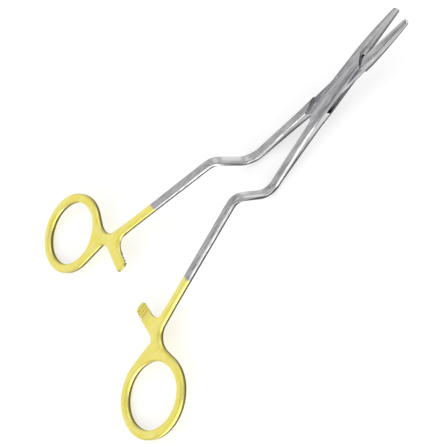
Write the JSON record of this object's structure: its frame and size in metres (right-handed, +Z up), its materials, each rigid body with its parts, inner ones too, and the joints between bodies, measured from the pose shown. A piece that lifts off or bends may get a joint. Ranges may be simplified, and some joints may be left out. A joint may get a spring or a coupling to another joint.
{
  "type": "needle holder",
  "caption": "Double-bent needle holder in satin steel with gold-plated ring handles, box lock, ratchet and insert jaws, shown open.",
  "frame": {"origin": "bottom centre of the bounding box, on the surface that the holder lies on", "axes": "+X along the instrument towards the jaws, +Y towards the male arm's handle, +Z up"},
  "size_m": [0.2215, 0.1396, 0.0213],
  "materials": {
    "arm_steel": "satin, gold plated from the middle of the rear shank to the rings",
    "rivet_steel": "satin",
    "hard_metal": "cross-hatched grey hard metal"
  },
  "bodies": {
    "female_half": {"female_arm": "arm_steel", "lock_rivet": "rivet_steel", "female_insert": "hard_metal"},
    "male_half": {"male_arm": "arm_steel", "male_insert": "hard_metal"}
  },
  "joints": [
    {"name": "box_lock", "type": "hinge", "parent": "female_half", "child": "male_half", "pos_m": [0.07236, 0, 0.01062], "axis": [0.1551, 0, -0.9879], "range_deg": [-9.5, 30.5]}
  ]
}
